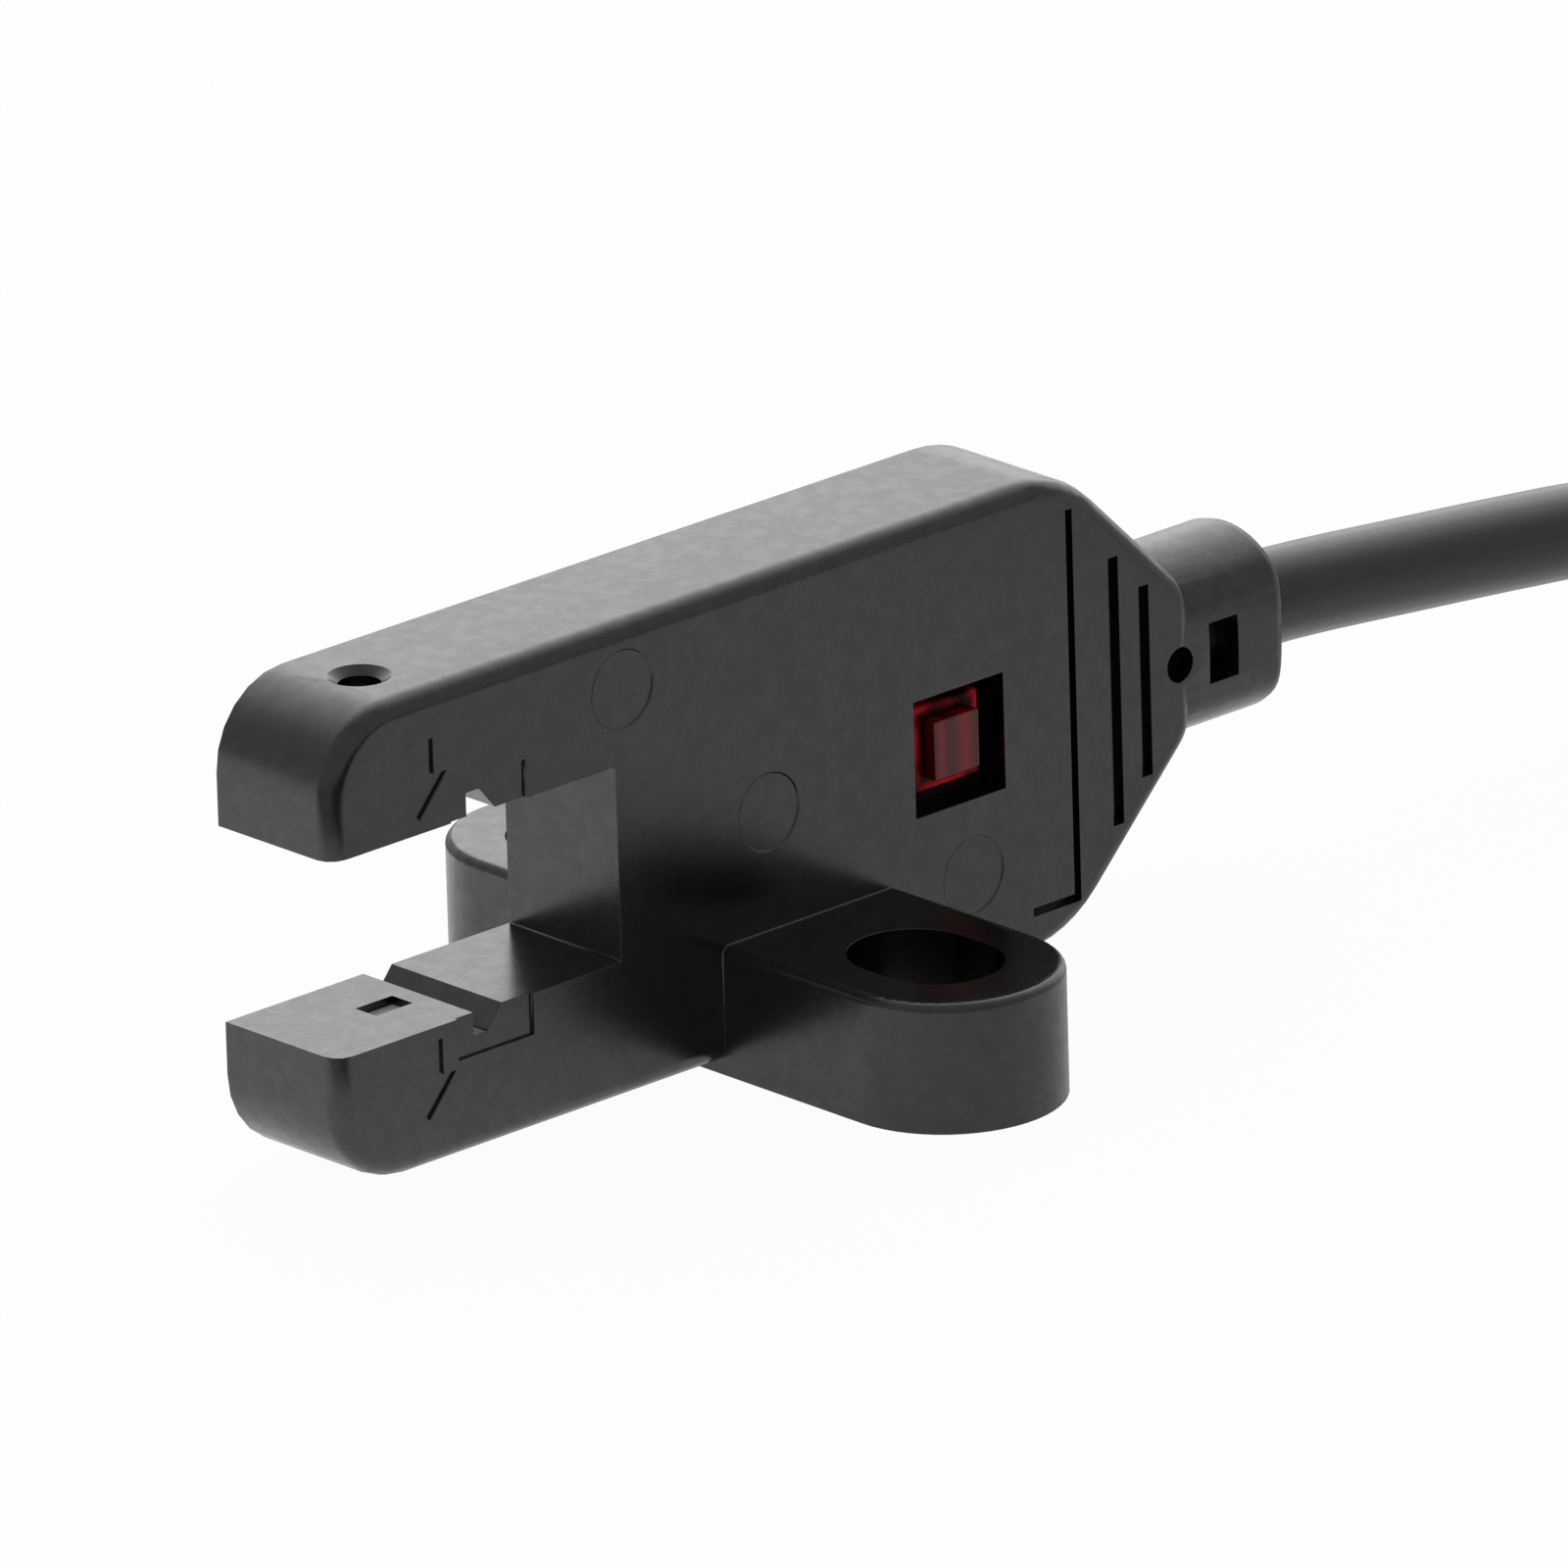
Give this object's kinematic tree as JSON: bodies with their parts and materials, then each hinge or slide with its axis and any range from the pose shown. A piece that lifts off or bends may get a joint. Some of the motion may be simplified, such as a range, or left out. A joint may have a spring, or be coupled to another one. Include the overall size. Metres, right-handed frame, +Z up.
{
  "type": "fork sensor",
  "caption": "Slim fork-shaped photoelectric sensor: a light beam crosses the slot between its arms; slotted ears take screws, a red window shows its state, and a cable leaves a round collar.",
  "frame": {"origin": "midway between the two screw slots, on the underside of the ears", "axes": "+X from the fork's mouth towards the cable, +Z up through the ears, the indicator window on the -Y face"},
  "size_m": [0.0982, 0.0577, 0.0124],
  "materials": {
    "case_plastic": "satin moulded black plastic",
    "red_lens": "clear red moulding",
    "board_green": "solder resist",
    "clear_epoxy": "clear moulded resin",
    "tinned_metal": "tin plated",
    "white_resin": "moulded resin",
    "chip_black": "moulded epoxy",
    "ceramic_tan": "ceramic",
    "solder": "bright solder",
    "core_brown": "extruded insulation",
    "core_blue": "extruded insulation",
    "core_black": "extruded insulation",
    "core_pink": "extruded insulation",
    "clamp_brass": "crimped band",
    "cable_jacket": "satin extruded jacket",
    "tie_white": "flat band"
  },
  "bodies": {
    "root": {"case": "case_plastic", "back_cover": "case_plastic", "indicator_window": "red_lens", "circuit_board": "board_green", "emitter": "clear_epoxy", "emitter_legs": "tinned_metal", "receiver": "clear_epoxy", "receiver_legs": "tinned_metal", "indicator_diode": "white_resin", "output_transistor": "chip_black", "reverse_diode": "chip_black", "surge_diode": "chip_black", "chip_resistors": "chip_black", "chip_capacitor": "ceramic_tan", "solder_joints": "solder", "core_brown": "core_brown", "core_blue": "core_blue", "core_black": "core_black", "core_pink": "core_pink", "clamp_ring": "clamp_brass", "jacket_end": "cable_jacket", "cable": "cable_jacket", "cable_coil": "cable_jacket", "coil_ties": "tie_white", "cable_tail": "cable_jacket", "lead_brown": "core_brown", "lead_blue": "core_blue", "lead_black": "core_black", "lead_pink": "core_pink", "lead_tips": "tinned_metal"}
  },
  "joints": []
}
